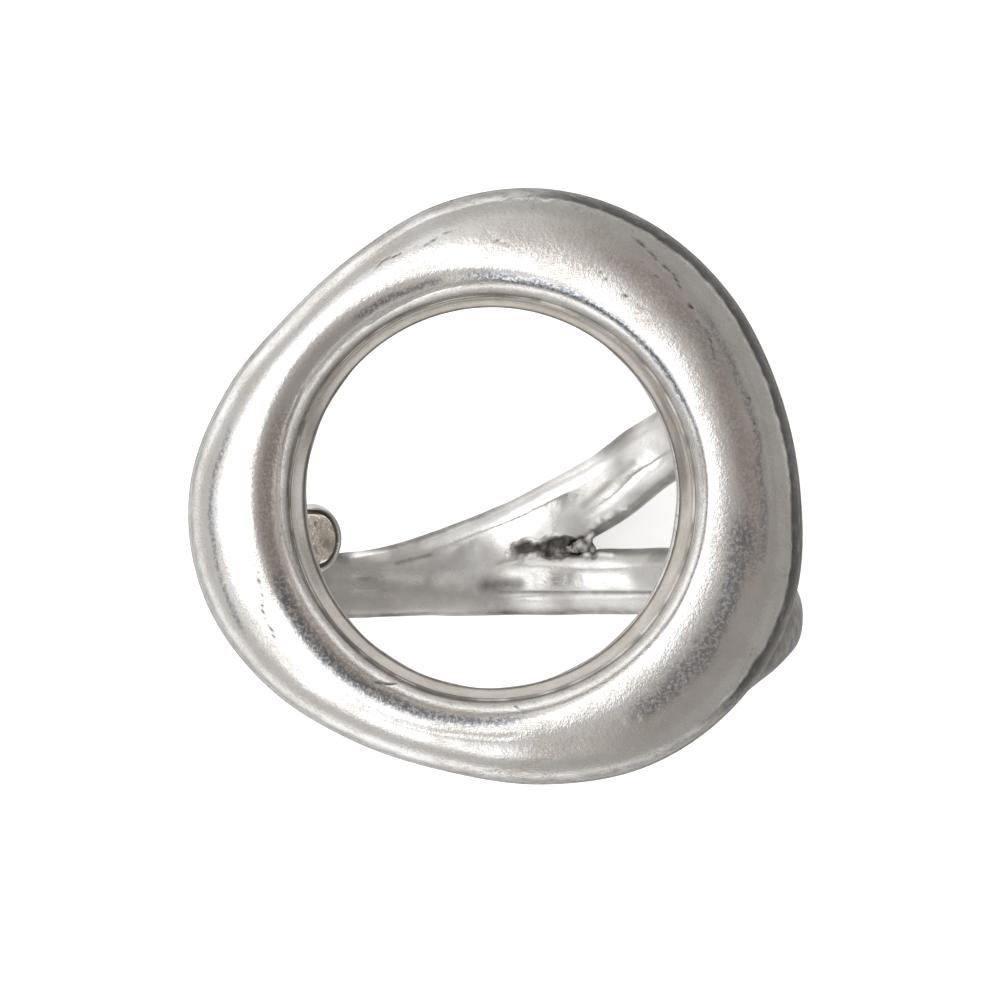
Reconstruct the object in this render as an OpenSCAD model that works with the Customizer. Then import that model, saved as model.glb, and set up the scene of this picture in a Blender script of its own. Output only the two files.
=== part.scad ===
// Open-face finger ring on a split, adjustable shank.
// A hollow, pebble-shaped open face stands over the finger. Two wires rise to it on the right, where they
// fork from one band under the finger, and one wire rises to it on the left and ends in a free, round tip
// that overlaps the band's own free end.
// +X is the wearer's right, +Y runs along the finger, and +Z points out of the face. The origin is the
// centre of the finger opening. All sizes are in millimetres.

/* [Finger opening] */
// Radius of the finger opening
finger_r = 8.25; // [8:0.05:8.6]
// Gap between the finger opening and the back plate's underside
finger_gap = 0.15; // [0.05:0.05:0.3]

/* [Face] */
// Middle of the face outline, right of the finger axis
face_x = -0.17; // [-0.4:0.01:0.1]
// Middle of the face outline, along the finger
face_y = 0.33; // [0.1:0.01:0.6]
// Size of the face outline, as a share of its usual size
face_scale = 1; // [0.95:0.01:1.1]
// Thickness of the back plate
plate_t = 0.6; // [0.4:0.05:0.9]
// How far the back plate stands out past the dome
plate_lip = 0.07; // [0.02:0.01:0.12]
// Height of the dome over the back plate
dome_h = 2.9; // [2.5:0.05:3.6]
// Thickness of the dome's sheet
sheet_t = 0.5; // [0.35:0.05:0.6]
// Radius of the circle that the dome's crest follows
crest_r = 7.7; // [7.6:0.01:8]
// Middle of that circle, right of the finger axis
crest_x = -0.63; // [-0.75:0.01:-0.5]
// Middle of that circle, along the finger
crest_y = 0.13; // [0:0.01:0.2]

/* [Hole] */
// Middle of the hole, right of the finger axis
hole_x = -0.27; // [-0.4:0.01:0]
// Middle of the hole, along the finger
hole_y = 0.07; // [-0.1:0.01:0.3]
// Radius of the hole through the back plate
hole_r = 6.27; // [6:0.01:6.4]
// How much wider the hole is at the top of its collar
hole_flare = 0.38; // [0.2:0.01:0.45]
// Height of the collar over the back plate
collar_h = 1.3; // [0.9:0.05:1.6]
// Thickness of the collar
collar_t = 0.48; // [0.4:0.01:0.5]

/* [Wires] */
// Squareness of a wire's section, where 2 is an ellipse
squareness = 2.3; // [2:0.1:3]
// Length of the rounding at a wire's free end
tip_round = 1.25; // [0.9:0.05:1.4]

/* [Arm flex] */
// Height over the finger axis of the line that the left arm bends about
bend_z = 3; // [2.5:0.1:3.5]
// Distance of that line from the finger axis
bend_x = 9.02; // [9:0.01:9.05]
// Radius of the fixed knuckle
knuckle_r = 0.8; // [0.75:0.01:0.82]
// Radial gap around the knuckle
knuckle_gap = 0.06; // [0.04:0.01:0.1]

/* [End tag] */
// Angle round the finger to the middle of the tag
tag_angle = -53.3; // [-54:0.1:-52]
// Radius of the tag's round ends
tag_r = 0.88; // [0.8:0.01:0.92]
// Distance between the middles of its round ends
tag_run = 1.4; // [1:0.05:1.5]
// Width of the groove around the tag
tag_groove = 0.12; // [0.08:0.01:0.14]
// Depth of the tag's seat under the finger surface
tag_seat = 0.36; // [0.3:0.01:0.4]
// Depth of the tag's own face under the finger surface
tag_recess = 0.06; // [0.03:0.01:0.1]

/* [Solder] */
// Depth of the fork's solder under the finger surface
fork_recess = 0.32; // [0.25:0.01:0.45]
// Thickness of the fork's solder
fork_t = 0.9; // [0.6:0.05:1]
// Height of the solder around a foot
fillet_h = 1; // [0.8:0.05:1.2]
// How much wider than its wire the solder is at the plate
fillet_spread = 0.34; // [0.2:0.02:0.4]

/* [Hidden] */

// Reach of the blocks and cylinders that cut the wires
reach = 40;
// Underside of the back plate
plate_z = finger_r + finger_gap;
// Top of the back plate, where the dome and the collar stand
seat_z = plate_z + plate_t;
// Radius of the face at every 20 degrees, starting at +X and turning towards +Y
FACE_RADII = [10.12, 9.98, 10.15, 10.25, 10.13, 9.68, 9.1, 8.98, 9.5,
              10.12, 10.27, 9.97, 9.55, 9.45, 9.9, 10.48, 10.7, 10.58];
// Power that shapes the dome's section, where 1 is an ellipse and less is fuller
fullness = 0.96;
// Sections round the dome
dome_turns = 72;
// Steps over the outside of the dome's section, and over its inside
outer_steps = 16;
inner_steps = 10;
// Corners of a wire's section
wire_sides = 16;
// Sections in each span between two stations of a wire
span_steps = 4;
// Sections in the first span of a wire that has a rounded free end
tip_steps = 9;
// Smallest share of its full width that a rounded free end narrows to
tip_nose = 0.2;

// Stations along each wire, each [angle, stand-off, y, width, thickness].
// The angle turns round the finger from straight under it, to the right where positive.
// The stand-off is from the finger surface to the middle of the wire.
LOWER_WIRE = [
    [-63, 1.62, -3.5, 2.2, 1.35],
    [-50, 1.64, -3.3, 2.28, 1.45],
    [-37, 1.42, -3, 2.3, 1.55],
    [-22, 0.98, -2.9, 2.32, 1.62],
    [-8, 0.78, -2.88, 2.32, 1.66],
    [10, 0.77, -2.87, 2.3, 1.66],
    [28, 0.77, -2.83, 2.3, 1.66],
    [46, 0.78, -2.83, 2.3, 1.66],
    [68, 0.96, -3.2, 2.3, 1.64],
    [90, 1.23, -3.89, 2.3, 1.64],
    [110, 1.35, -4.53, 2.3, 1.64],
    [127, 1.71, -5.31, 2.3, 1.64],
    [146, 2.5, -6.4, 2.3, 1.64]];
UPPER_WIRE = [
    [-30, 1.22, -2.78, 2, 1.5],
    [-22, 0.99, -2.6, 2.2, 1.6],
    [-8, 0.78, -2, 2.42, 1.66],
    [7, 0.77, -1.05, 2.5, 1.66],
    [24, 0.76, 0.35, 2.5, 1.64],
    [36, 0.75, 1.57, 2.46, 1.6],
    [52, 0.71, 2.68, 2.4, 1.55],
    [70, 0.62, 2.98, 2.32, 1.44],
    [90, 0.52, 2.8, 2.2, 1.36],
    [110, 0.75, 2.75, 2.2, 1.36],
    [127, 1.7, 2.85, 2.2, 1.4],
    [142, 3.05, 3, 2.2, 1.44]];
LEFT_WIRE = [
    [-40.2, 0.42, -1.35, 2.46, 0.96],
    [-53, 0.42, -1.35, 2.46, 1],
    [-70, 0.56, -1.15, 2.42, 1.28],
    [-90, 0.75, -0.95, 2.36, 1.6],
    [-108.4, 1.25, -0.85, 2.34, 1.6],
    [-124.3, 2.38, -0.8, 2.34, 1.6],
    [-136.7, 4, -0.8, 2.34, 1.6]];

// ---- Curves ----

function unit(v) = v / norm(v);
function signed_power(v, p) = sign(v) * pow(abs(v), p);

// A smooth curve through b and c, for t from 0 to 1
function smooth_step(a, b, c, d, t) =
    0.5 * (2 * b + (c - a) * t + (2 * a - 5 * b + 4 * c - d) * t * t + (3 * b - a - 3 * c + d) * t * t * t);

// The station at u, where whole numbers are the rows themselves
function station(rows, u) =
    let (last = len(rows) - 1, i = min(floor(u), last - 1))
    smooth_step(rows[max(i - 1, 0)], rows[i], rows[i + 1], rows[min(i + 2, last)], u - i);

// The radius of the face outline at an angle
function face_radius(angle) =
    let (n = len(FACE_RADII), u = angle * n / 360, i = floor(u))
    face_scale * smooth_step(FACE_RADII[(i + n - 1) % n], FACE_RADII[i % n], FACE_RADII[(i + 1) % n],
                             FACE_RADII[(i + 2) % n], u - i);

// ---- Wires ----

// The middle of a wire at a station
function wire_point(row) =
    [(finger_r + row[1]) * sin(row[0]), row[2], -(finger_r + row[1]) * cos(row[0])];

// Where a wire is cut into sections, closer together along a rounded free end
function wire_cuts(rows, rounded) =
    let (first = rounded ? [for (k = [0 : tip_steps - 1]) pow(k / tip_steps, 2)]
                         : [for (k = [0 : span_steps - 1]) k / span_steps])
    concat(first, [for (k = [span_steps : span_steps * (len(rows) - 1)]) k / span_steps]);

// How much of its full width a wire has at a distance from its free end
function tip_share(distance) =
    max(tip_nose, sqrt(1 - pow(1 - min(1, distance / tip_round), 2)));

// One section of a wire: its corners, square to the wire's run, widest across the finger surface
function wire_ring(row, run, share) =
    let (outward = [sin(row[0]), 0, -cos(row[0])],
         across = unit(cross(outward, run)),
         up = cross(run, across),
         half_w = row[3] / 2 * share,
         half_t = row[4] / 2 * (0.4 + 0.6 * share))
    [for (k = [0 : wire_sides - 1])
        let (a = 360 * k / wire_sides)
        wire_point(row) + across * half_w * signed_power(cos(a), 2 / squareness)
                        + up * half_t * signed_power(sin(a), 2 / squareness)];

// Every section of a wire, from its free end to its foot
function wire_rings(rows, rounded) =
    let (cuts = wire_cuts(rows, rounded),
         places = [for (u = cuts) station(rows, u)],
         points = [for (row = places) wire_point(row)],
         last = len(cuts) - 1)
    [for (i = [0 : last])
        let (run = unit(points[min(i + 1, last)] - points[max(i - 1, 0)]))
        wire_ring(places[i], run, rounded ? tip_share(norm(points[i] - points[0])) : 1)];

// Skin over a list of sections that all have the same number of corners
module skin(rings) {
    sides = len(rings[0]);
    last = len(rings) - 1;
    walls = [for (i = [0 : last - 1], k = [0 : sides - 1])
        let (a = i * sides + k, b = i * sides + (k + 1) % sides)
        each [[a, a + sides, b + sides], [a, b + sides, b]]];
    start = [for (k = [0 : sides - 1]) k];
    end = [for (k = [sides - 1 : -1 : 0]) last * sides + k];
    polyhedron(points = [for (ring = rings) each ring], faces = concat(walls, [start, end]));
}

module lower_wire() { skin(wire_rings(LOWER_WIRE, true)); }
module upper_wire() { skin(wire_rings(UPPER_WIRE, false)); }
module left_wire() { skin(wire_rings(LEFT_WIRE, true)); }

// A cylinder along the finger, at a place seen along the finger
module along_finger(r, x = 0, z = 0) {
    translate([x, reach / 2, z]) rotate([90, 0, 0]) cylinder(r = r, h = reach, $fn = 180);
}

// Everything over a height
module above(z) { translate([-reach / 2, -reach / 2, z]) cube(reach); }

// A wire smoothed to the finger surface and cut level with the back plate
module fitted() {
    difference() {
        children();
        along_finger(finger_r);
        above(plate_z);
    }
}

// ---- Face ----

// The outer edge of the face, and the rim of the collar, at an angle
function face_edge(angle, inset = 0) =
    [face_x, face_y] + (face_radius(angle) - inset) * [cos(angle), sin(angle)];
function collar_rim(angle, outset = 0) =
    [hole_x, hole_y] + (hole_r + hole_flare + outset) * [cos(angle), sin(angle)];

// The dome's crest at an angle
function dome_crest(angle) = [crest_x, crest_y] + crest_r * [cos(angle), sin(angle)];

// One section of the dome's sheet: over the outside from its foot to the collar, and back inside
function dome_ring(angle) =
    concat(
        [for (k = [0 : outer_steps]) dome_point(angle, 180 * k / outer_steps, 0)],
        [for (k = [inner_steps : -1 : 0]) dome_point(angle, 180 * k / inner_steps, sheet_t)]);

// A point of that section, where turn runs from 0 at the foot through 90 at the crest to 180 at the rim
function dome_point(angle, turn, inset) =
    let (outside = turn < 90,
         low = outside ? face_edge(angle, inset) : collar_rim(angle, inset),
         start = outside ? 0 : collar_h,
         spot = dome_crest(angle) + (low - dome_crest(angle)) * pow(abs(cos(turn)), fullness),
         rise = (dome_h - inset - start) * pow(max(sin(turn), 0), fullness))
    [spot[0], spot[1], seat_z + start + rise];

module face_dome() {
    color([0.8, 0.78, 0.75]) {
        rings = [for (i = [0 : dome_turns - 1]) dome_ring(360 * i / dome_turns)];
        sides = len(rings[0]);
        walls = [for (i = [0 : dome_turns - 1], k = [0 : sides - 1])
            let (j = (i + 1) % dome_turns, m = (k + 1) % sides,
                 a = i * sides + k, b = i * sides + m, c = j * sides + k, d = j * sides + m)
            each [[a, b, d], [a, d, c]]];
        polyhedron(points = [for (ring = rings) each ring], faces = walls);
    }
}

module face_back_plate() {
    edge = [for (i = [0 : dome_turns - 1]) face_edge(360 * i / dome_turns, -plate_lip)];
    color([0.7, 0.69, 0.67])
        translate([0, 0, plate_z])
            difference() {
                linear_extrude(plate_t) polygon(edge);
                translate([hole_x, hole_y, -1]) cylinder(r = hole_r, h = plate_t + 2, $fn = 180);
            }
}

module hole_collar() {
    color([0.6, 0.59, 0.57])
        translate([hole_x, hole_y, seat_z])
            rotate_extrude($fn = 180)
                polygon([[hole_r, 0], [hole_r + collar_t, 0],
                         [hole_r + hole_flare + collar_t, collar_h], [hole_r + hole_flare, collar_h]]);
}

// ---- Shank ----

module lower_band() { color([0.74, 0.72, 0.69]) fitted() lower_wire(); }

module upper_arm() {
    color([0.78, 0.76, 0.73])
        difference() {
            fitted() upper_wire();
            lower_wire();
        }
}

// The knuckle that stands in for the bend of the left arm
module knuckle(gap) { along_finger(knuckle_r + gap, x = -bend_x, z = bend_z); }

module left_arm_root() {
    color([0.72, 0.7, 0.68])
        intersection() {
            fitted() left_wire();
            union() {
                knuckle(0);
                above(bend_z);
            }
        }
}

module left_arm() {
    color([0.76, 0.74, 0.71])
        difference() {
            fitted() left_wire();
            knuckle(knuckle_gap);
            above(bend_z);
            tag_outline(tag_groove, finger_r + tag_seat);
        }
}

// The tag's outline with a margin, from inside the finger opening out to a radius
module tag_outline(margin, out_r) {
    middle = finger_r + LEFT_WIRE[1][1];
    intersection() {
        along_finger(out_r);
        translate([middle * sin(tag_angle), LEFT_WIRE[1][2], -middle * cos(tag_angle)])
            rotate([0, 180 - tag_angle, 0]) {
                for (side = [-1, 1])
                    translate([side * tag_run / 2, 0, -1])
                        cylinder(r = tag_r + margin, h = 3, $fn = 64);
                translate([-tag_run / 2, -tag_r - margin, -1])
                    cube([tag_run, 2 * (tag_r + margin), 3]);
            }
    }
}

module end_tag() {
    color([0.62, 0.57, 0.5])
        difference() {
            tag_outline(0, finger_r + tag_seat);
            along_finger(finger_r + tag_recess);
        }
}

// ---- Solder ----

module fork_solder() {
    near = finger_r + fork_recess;
    color([0.3, 0.28, 0.26])
        difference() {
            intersection() {
                along_finger(near + fork_t);
                translate([0, 0, -reach / 2])
                    linear_extrude(reach / 2)
                        difference() {
                            polygon([[-0.4, -2], [3.32, -0.9], [3.32, -2.2]]);
                            translate([3.38, -1.43]) circle(r = 0.22, $fn = 40);
                        }
            }
            along_finger(near);
            lower_wire();
            upper_wire();
        }
}

// Solder that spreads from a wire onto the back plate, around the wire's last station
module fillet(rows, steps = 6) {
    foot = rows[len(rows) - 1];
    before = rows[len(rows) - 2];
    run = unit(wire_point(foot) - wire_point(before));
    rise = fillet_h / run[2];
    middle = wire_point(foot) + run * (plate_z - wire_point(foot)[2]) / run[2];
    fitted_ring = wire_ring(foot, run, 1);
    rings = [for (k = [0 : steps])
        let (share = k / steps, grow = fillet_spread * pow(share, 2.2) - 0.03)
        [for (corner = fitted_ring)
            middle + (corner - wire_point(foot)) * (1 + grow) + run * rise * (share * 1.3 - 1)]];
    difference() {
        skin(rings);
        along_finger(finger_r);
        above(plate_z);
    }
}

module lower_foot_solder() {
    color([0.5, 0.48, 0.46]) difference() { fillet(LOWER_WIRE); lower_wire(); }
}

module upper_foot_solder() {
    color([0.5, 0.48, 0.46]) difference() { fillet(UPPER_WIRE); upper_wire(); }
}

module left_foot_solder() {
    color([0.5, 0.48, 0.46]) difference() { fillet(LEFT_WIRE); left_wire(); }
}

face_dome();
face_back_plate();
hole_collar();
lower_band();
upper_arm();
left_arm_root();
left_arm();
end_tag();
fork_solder();
lower_foot_solder();
upper_foot_solder();
left_foot_solder();
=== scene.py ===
"""Looks for the open-face finger ring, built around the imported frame.

Lengths are in millimetres while a mesh is being made, because the ring is small. Each finished
mesh is scaled to metres. Angles round the face run anticlockwise from +X, as seen from above.
Angles round the finger start at -Z and run towards +X."""

import bmesh
import bpy
import numpy as np
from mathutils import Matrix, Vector, noise


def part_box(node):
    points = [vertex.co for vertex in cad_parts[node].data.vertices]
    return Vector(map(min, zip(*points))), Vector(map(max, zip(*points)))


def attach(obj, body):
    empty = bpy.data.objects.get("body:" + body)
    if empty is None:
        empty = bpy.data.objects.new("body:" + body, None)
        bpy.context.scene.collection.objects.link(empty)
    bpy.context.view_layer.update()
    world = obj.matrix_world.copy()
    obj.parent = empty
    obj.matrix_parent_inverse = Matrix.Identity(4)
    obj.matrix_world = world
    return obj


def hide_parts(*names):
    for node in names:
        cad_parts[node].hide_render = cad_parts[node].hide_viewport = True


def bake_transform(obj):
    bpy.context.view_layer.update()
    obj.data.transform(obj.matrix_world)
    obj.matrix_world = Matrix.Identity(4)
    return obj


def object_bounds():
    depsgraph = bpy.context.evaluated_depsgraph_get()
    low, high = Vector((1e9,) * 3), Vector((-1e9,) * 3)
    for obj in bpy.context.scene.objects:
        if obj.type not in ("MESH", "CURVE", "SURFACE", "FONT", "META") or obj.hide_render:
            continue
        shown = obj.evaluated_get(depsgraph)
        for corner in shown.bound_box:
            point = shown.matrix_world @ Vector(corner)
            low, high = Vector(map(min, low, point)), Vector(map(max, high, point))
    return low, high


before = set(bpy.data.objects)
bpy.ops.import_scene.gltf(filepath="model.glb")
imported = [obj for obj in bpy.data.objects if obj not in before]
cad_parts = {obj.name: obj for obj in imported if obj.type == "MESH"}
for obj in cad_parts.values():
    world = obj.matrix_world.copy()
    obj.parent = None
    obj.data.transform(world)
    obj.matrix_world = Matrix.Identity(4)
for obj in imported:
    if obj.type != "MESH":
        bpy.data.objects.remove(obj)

CAD_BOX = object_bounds()
MM = 0.001

# ---- Sizes that the ring's design gives ----

FINGER_R = 8.25
PLATE_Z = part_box("face_back_plate")[0][2] / MM
SEAT_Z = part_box("face_back_plate")[1][2] / MM
DOME_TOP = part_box("face_dome")[1][2] / MM
COLLAR_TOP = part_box("hole_collar")[1][2] / MM
FACE_MIDDLE = np.array([-0.17, 0.33])
HOLE_MIDDLE = np.array([-0.27, 0.07])
CREST_MIDDLE = np.array([-0.63, 0.13])
HOLE_R = 6.27
RIM_R = 6.65
CREST_R = 7.7
DOME_FULLNESS = 0.96
DOME_OVERLAP = 0.16
PLATE_LIP = 0.07
SHEET_T = 0.5
FACE_RADII = [10.12, 9.98, 10.15, 10.25, 10.13, 9.68, 9.1, 8.98, 9.5,
              10.12, 10.27, 9.97, 9.55, 9.45, 9.9, 10.48, 10.7, 10.58]

# Stations along each wire: angle round the finger, stand-off, y, width, thickness
LOWER_WIRE = [
    [-63, 1.62, -3.5, 2.2, 1.35],
    [-50, 1.64, -3.3, 2.28, 1.45],
    [-37, 1.42, -3, 2.3, 1.55],
    [-22, 0.98, -2.9, 2.32, 1.62],
    [-8, 0.78, -2.88, 2.32, 1.66],
    [10, 0.77, -2.87, 2.3, 1.66],
    [28, 0.77, -2.83, 2.3, 1.66],
    [46, 0.78, -2.83, 2.3, 1.66],
    [68, 0.96, -3.2, 2.3, 1.64],
    [90, 1.23, -3.89, 2.3, 1.64],
    [110, 1.35, -4.53, 2.3, 1.64],
    [127, 1.71, -5.31, 2.3, 1.64],
    [146, 2.5, -6.4, 2.3, 1.64]]
UPPER_WIRE = [
    [-30, 1.22, -2.78, 2, 1.5],
    [-22, 0.99, -2.6, 2.2, 1.6],
    [-8, 0.78, -2, 2.42, 1.66],
    [7, 0.77, -1.05, 2.5, 1.66],
    [24, 0.76, 0.35, 2.5, 1.64],
    [36, 0.75, 1.57, 2.46, 1.6],
    [52, 0.71, 2.68, 2.4, 1.55],
    [70, 0.62, 2.98, 2.32, 1.44],
    [90, 0.52, 2.8, 2.2, 1.36],
    [110, 0.75, 2.75, 2.2, 1.36],
    [127, 1.7, 2.85, 2.2, 1.4],
    [142, 3.05, 3, 2.2, 1.44]]
LEFT_WIRE = [
    [-40.2, 0.42, -1.35, 2.46, 0.96],
    [-53, 0.42, -1.35, 2.46, 1],
    [-70, 0.56, -1.15, 2.42, 1.28],
    [-90, 0.75, -0.95, 2.36, 1.6],
    [-108.4, 1.25, -0.85, 2.34, 1.6],
    [-124.3, 2.38, -0.8, 2.34, 1.6],
    [-136.7, 4, -0.8, 2.34, 1.6]]
SQUARENESS = 2.3
TIP_ROUND = 1.25
TAG_ANGLE = np.radians(-53.3)
TAG_Y = LEFT_WIRE[1][2]
TAG_R = 0.88
TAG_RUN = 1.4
TAG_GROOVE = 0.12
TAG_SEAT = 0.36
TAG_RECESS = 0.06
TAG_PATH_R = FINGER_R + 0.3

# Wires and fillets of solder end this high, just inside the plate
JOIN_Z = PLATE_Z + 0.03

# ---- How finely the meshes are made ----

DOME_SIDES = 720
DOME_OUTER_STEPS = 85
DOME_INNER_STEPS = 19
HOLE_SIDES = 600
WIRE_SAMPLES = 4000
SHANK_SIDES = 64
SHANK_STEP = 0.08
LEFT_SIDES = 180
LEFT_STEP = 0.045
TAG_SIDES = 120

# ---- Curves ----


def smooth_step(a, b, c, d, t):
    """A smooth curve through b and c, for t from 0 to 1."""
    square = 2 * a - 5 * b + 4 * c - d
    cube = 3 * b - a - 3 * c + d
    return 0.5 * (2 * b + (c - a) * t + square * t ** 2 + cube * t ** 3)


def stations(rows, u):
    """The stations at the places u along a wire, where whole numbers are the rows themselves."""
    rows = np.array(rows, float)
    last = len(rows) - 1
    i = np.minimum(u.astype(int), last - 1)
    ends = [rows[np.clip(i + k, 0, last)] for k in (-1, 0, 1, 2)]
    return smooth_step(*ends, (u - i)[:, None])


def face_radius(angle):
    """The radius of the face outline, from its middle, at angles in radians."""
    radii = np.array(FACE_RADII)
    u = angle / (2 * np.pi) * len(radii)
    i = np.floor(u).astype(int)
    return smooth_step(*[radii[(i + k) % len(radii)] for k in (-1, 0, 1, 2)], u - i)


def around(angle):
    """Unit vectors in the face's plane."""
    return np.stack([np.cos(angle), np.sin(angle)], -1)


def signed_power(v, p):
    return np.sign(v) * np.abs(v) ** p


def eased(v, low, high):
    """0 below low, 1 above high, and smooth between."""
    t = np.clip((v - low) / (high - low), 0, 1)
    return t * t * (3 - 2 * t)


def angle_gap(a, b):
    """How far apart angles are, in degrees."""
    return np.abs((a - b + 180) % 360 - 180)


def from_axis(points):
    """How far points are from the finger's axis."""
    return np.hypot(points[:, 0], points[:, 2])


def cloud(points, scale, seed, detail=2):
    """Smooth noise from about -1 to 1 at points in mm, with features about 1/scale mm across."""
    shift = Vector((seed * 17.3, seed * -9.1, seed * 5.7))
    return np.array([noise.fractal(Vector(p) * scale + shift, 1.0, 2.0, detail) for p in points])


# ---- Meshes ----


def outward(made):
    """Turns a mesh's faces outward and shades them smooth."""
    bm = bmesh.new()
    bm.from_mesh(made.data)
    bmesh.ops.recalc_face_normals(bm, faces=bm.faces)
    if bm.calc_volume(signed=True) < 0:
        bmesh.ops.reverse_faces(bm, faces=bm.faces)
    bm.to_mesh(made.data)
    bm.free()
    made.data.polygons.foreach_set("use_smooth", [True] * len(made.data.polygons))


def new_object(name, verts, faces):
    """A smooth-shaded object."""
    mesh = bpy.data.meshes.new(name)
    mesh.from_pydata([tuple(v) for v in verts], [], faces)
    mesh.validate()
    made = bpy.data.objects.new(name, mesh)
    bpy.context.scene.collection.objects.link(made)
    outward(made)
    return made


def places(made):
    """A mesh's points as rows."""
    co = np.empty(len(made.data.vertices) * 3, np.float32)
    made.data.vertices.foreach_get("co", co)
    return co.reshape(-1, 3).astype(float)


def normals(made):
    """A mesh's point normals as rows."""
    n = np.empty(len(made.data.vertices) * 3, np.float32)
    made.data.vertex_normals.foreach_get("vector", n)
    return n.reshape(-1, 3).astype(float)


def move_to(made, points):
    """Moves a mesh's points."""
    made.data.vertices.foreach_set("co", points.astype(np.float32).ravel())
    made.data.update()


def swell(made, heights):
    """Moves each point along its normal."""
    move_to(made, places(made) + normals(made) * heights[:, None])


def mark(made, name, values):
    """Stores a number from 0 to 1 at each point, for the materials."""
    layer = made.data.attributes.new(name, "FLOAT", "POINT")
    layer.data.foreach_set("value", np.clip(values, 0, 1).astype(np.float32))


def closed_loft(name, rings, wrap):
    """Skin over rings of points.

    wrap joins the last ring to the first. Without it both ends are capped."""
    count, sides = len(rings), len(rings[0])
    faces = []
    for i in range(count if wrap else count - 1):
        j = (i + 1) % count
        for k in range(sides):
            m = (k + 1) % sides
            faces.append((i * sides + k, i * sides + m, j * sides + m, j * sides + k))
    if not wrap:
        faces.append(tuple(range(sides)))
        faces.append(tuple((count - 1) * sides + k for k in range(sides)))
    return new_object(name, np.array(rings).reshape(-1, 3), faces)


def remeshed(made, voxel, smooth):
    """One even skin over a mesh in mm, or over overlapping meshes, with softened creases."""
    remesh = made.modifiers.new("skin", "REMESH")
    remesh.mode = "VOXEL"
    remesh.voxel_size = voxel
    soften = made.modifiers.new("soften", "SMOOTH")
    soften.factor = 0.5
    soften.iterations = smooth
    graph = bpy.context.evaluated_depsgraph_get()
    mesh = bpy.data.meshes.new_from_object(made.evaluated_get(graph))
    made.modifiers.clear()
    made.data = mesh
    mesh.polygons.foreach_set("use_smooth", [True] * len(mesh.polygons))
    return made


def joined(name, parts):
    """One object that holds several meshes."""
    made = bpy.data.objects.new(name, bpy.data.meshes.new(name))
    bpy.context.scene.collection.objects.link(made)
    bm = bmesh.new()
    for part in parts:
        bm.from_mesh(part.data)
        bpy.data.objects.remove(part)
    bm.to_mesh(made.data)
    bm.free()
    return made


def copied(name, node):
    """A copy in mm of a CAD node's mesh."""
    made = bpy.data.objects.new(name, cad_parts[node].data.copy())
    made.data.materials.clear()
    bpy.context.scene.collection.objects.link(made)
    move_to(made, places(made) / MM)
    return made


# ---- Face ----

# Scratches on the face, from the hole's middle: start angle, start radius, end angle, end radius,
# width and depth
FACE_SCRATCHES = [
    [29, 8.6, 64, 10, 0.12, 0.025],
    [37, 8.95, 47, 9.2, 0.09, 0.02],
    [52, 9.1, 60, 9.35, 0.07, 0.015],
    [86, 8.3, 92, 8.95, 0.09, 0.012],
    [236, 7.3, 245, 6.75, 0.08, 0.015],
    [276, 6.9, 279, 7.3, 0.08, 0.012],
    [322, 8.3, 345, 8.4, 0.05, 0.012],
    [8, 8.9, 27, 9.2, 0.04, 0.01],
    [96, 8.9, 118, 8.5, 0.05, 0.01],
    [196, 8.1, 214, 8.6, 0.05, 0.01],
    [50, 7.9, 71, 8.4, 0.04, 0.008]]
# Pitted patches: angle, radius, spread in degrees, spread in mm
PITTED_PATCHES = [
    [38, 9.15, 14, 0.3],
    [60, 9.7, 14, 0.3],
    [80, 9.9, 16, 0.3],
    [338, 9.1, 6, 0.4],
    [310, 8.75, 12, 0.35],
    [270, 9.15, 9, 0.25],
    [325, 10.1, 9, 0.25]]
# Bands on the dome, partly dulled wear and partly painted reflection of the dim surroundings: start
# angle, start turn, end angle, end turn, half width in turn and strength. The turn runs over the
# dome's section, from 0 at its foot through 90 at its crest to 180 at its rim.
BLUED_REFLECTION_BANDS = [
    [18, 124, 100, 114, 16, 1],
    [100, 112, 128, 118, 10, 0.8],
    [195, 106, 285, 106, 19, 0.95],
    [300, 68, 358, 72, 13, 0.75],
    [-20, 57, 45, 52, 5, 0.6],
    [163, 54, 212, 48, 5, 0.8],
    [-10, 132, 20, 120, 9, 0.5]]
BROWNED_REFLECTION_BANDS = [
    [-25, 66, 72, 66, 11, 0.65],
    [150, 120, 255, 122, 24, 0.85],
    [60, 145, 110, 150, 10, 0.3]]
# Fine ridges left by the polishing, in the same terms, with a height in mm instead of a strength
RIDGES = [
    [96, 132, 127, 146, 4, 0.02],
    [146, 132, 216, 160, 5, 0.03],
    [-15, 49, 30, 45, 4, -0.015],
    [225, 80, 282, 82, 4, -0.02],
    [86, 32, 118, 40, 4, 0.012]]
# The strip of painted shade along the face's right edge: middle angle and half length
STRIP_ANGLE = 18
STRIP_HALF = 76


def run_along(angle, start, end):
    """How far along a line each angle is, from 0 to 1, and a share that fades at its ends."""
    along = ((angle - start) % 360) / (end - start)
    return along, eased(along, 0, 0.12) * eased(1 - along, 0, 0.12) * (along < 1)


def band_share(angle, turn, band):
    """The strength along the middle of a band, fading to 0 at its half width and at its ends."""
    a0, t0, a1, t1, half, strength = band
    along, ends = run_along(angle, a0, a1)
    return ends * eased(1 - np.abs(turn - (t0 + (t1 - t0) * along)) / half, 0, 0.8) * strength


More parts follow.
